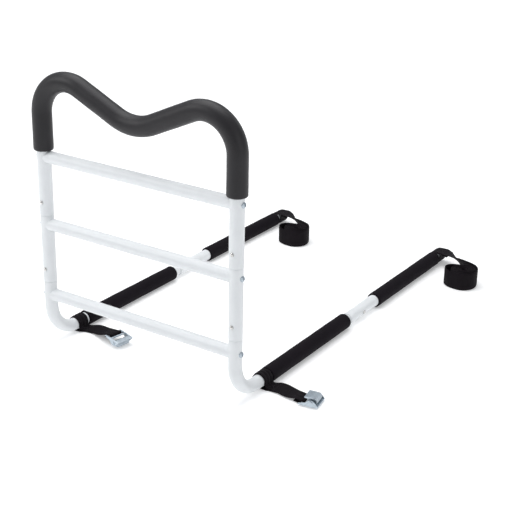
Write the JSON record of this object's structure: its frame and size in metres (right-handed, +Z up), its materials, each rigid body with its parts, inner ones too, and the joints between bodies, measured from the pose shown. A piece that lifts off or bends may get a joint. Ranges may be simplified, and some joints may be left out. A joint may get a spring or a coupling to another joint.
{
  "type": "bed assist rail",
  "caption": "Upright tubular hand rail with a foam-gripped M-shaped loop, cross bars, and two foam-sleeved arms with cam-buckle straps that anchor it under a mattress.",
  "frame": {"origin": "on the floor, at the middle of the rigid frame's width and depth", "axes": "+X along the cross bars to the right, +Y along the arms under the bed, away from the user, +Z up"},
  "size_m": [0.5594, 0.8178, 0.5237],
  "materials": {
    "white_tube": "gloss white powder coat",
    "grip_foam": "smooth closed-cell foam, soft sheen",
    "sleeve_foam": "fine matte foam",
    "black_plastic": "moulded, matte",
    "zinc_steel": "bright blue zinc plate",
    "spring_steel": "plain spring steel",
    "bright_steel": "bright nickel plate",
    "webbing": "ribbed woven polypropylene",
    "buckle_steel": "zinc-plated pressed steel, satin"
  },
  "bodies": {
    "root": {"hand_loop_tube": "white_tube", "hand_grip": "grip_foam", "top_crossbar": "white_tube", "middle_crossbar": "white_tube", "lower_crossbar": "white_tube", "left_riser_tube": "white_tube", "right_riser_tube": "white_tube", "left_base_tube": "white_tube", "right_base_tube": "white_tube", "left_extension_tube": "white_tube", "right_extension_tube": "white_tube", "left_front_sleeve": "sleeve_foam", "right_front_sleeve": "sleeve_foam", "left_rear_sleeve": "sleeve_foam", "right_rear_sleeve": "sleeve_foam", "left_end_plug": "black_plastic", "right_end_plug": "black_plastic", "left_top_bolt": "zinc_steel", "right_top_bolt": "zinc_steel", "left_middle_bolt": "zinc_steel", "right_middle_bolt": "zinc_steel", "left_lower_bolt": "zinc_steel", "right_lower_bolt": "zinc_steel", "left_top_insert": "zinc_steel", "right_top_insert": "zinc_steel", "left_middle_insert": "zinc_steel", "right_middle_insert": "zinc_steel", "left_lower_insert": "zinc_steel", "right_lower_insert": "zinc_steel", "left_upper_clip": "spring_steel", "right_upper_clip": "spring_steel", "left_lower_clip": "spring_steel", "right_lower_clip": "spring_steel", "left_arm_clip": "spring_steel", "right_arm_clip": "spring_steel", "left_buckle_strap": "webbing", "right_buckle_strap": "webbing", "left_long_strap": "webbing", "right_long_strap": "webbing", "left_strap_roll": "webbing", "right_strap_roll": "webbing", "left_buckle_frame": "buckle_steel", "right_buckle_frame": "buckle_steel", "left_lever_pin": "buckle_steel", "right_lever_pin": "buckle_steel", "left_lever_spring": "spring_steel", "right_lever_spring": "spring_steel"},
    "left_upper_button": {"left_upper_button": "bright_steel"},
    "left_lower_button": {"left_lower_button": "bright_steel"},
    "left_arm_button": {"left_arm_button": "bright_steel"},
    "right_upper_button": {"right_upper_button": "bright_steel"},
    "right_lower_button": {"right_lower_button": "bright_steel"},
    "right_arm_button": {"right_arm_button": "bright_steel"},
    "left_cam_lever": {"left_cam_lever": "buckle_steel"},
    "right_cam_lever": {"right_cam_lever": "buckle_steel"}
  },
  "joints": [
    {"name": "left_upper_button_press", "type": "slide", "parent": "root", "child": "left_upper_button", "axis": [0, 1, 0], "range_m": [0, 0.0042], "stiffness_N_per_m": 2500, "springref_m": -0.004},
    {"name": "left_lower_button_press", "type": "slide", "parent": "root", "child": "left_lower_button", "axis": [0, 1, 0], "range_m": [0, 0.0042], "stiffness_N_per_m": 2500, "springref_m": -0.004},
    {"name": "left_arm_button_press", "type": "slide", "parent": "root", "child": "left_arm_button", "axis": [1, 0, 0], "range_m": [0, 0.0042], "stiffness_N_per_m": 2500, "springref_m": -0.004},
    {"name": "right_upper_button_press", "type": "slide", "parent": "root", "child": "right_upper_button", "axis": [0, 1, 0], "range_m": [0, 0.0042], "stiffness_N_per_m": 2500, "springref_m": -0.004},
    {"name": "right_lower_button_press", "type": "slide", "parent": "root", "child": "right_lower_button", "axis": [0, 1, 0], "range_m": [0, 0.0042], "stiffness_N_per_m": 2500, "springref_m": -0.004},
    {"name": "right_arm_button_press", "type": "slide", "parent": "root", "child": "right_arm_button", "axis": [-1, 0, 0], "range_m": [0, 0.0042], "stiffness_N_per_m": 2500, "springref_m": -0.004},
    {"name": "left_cam_lever_press", "type": "hinge", "parent": "root", "child": "left_cam_lever", "pos_m": [-0.09652, -0.32786, 0.00861], "axis": [0.1736, 0.9848, 0], "range_deg": [0, 25], "stiffness_Nm_per_rad": 0.25, "springref_deg": -22.92},
    {"name": "right_cam_lever_press", "type": "hinge", "parent": "root", "child": "right_cam_lever", "pos_m": [0.3129, -0.3067, 0.0099], "axis": [0.1736, -0.9848, 0], "range_deg": [0, 25], "stiffness_Nm_per_rad": 0.25, "springref_deg": -22.92}
  ]
}
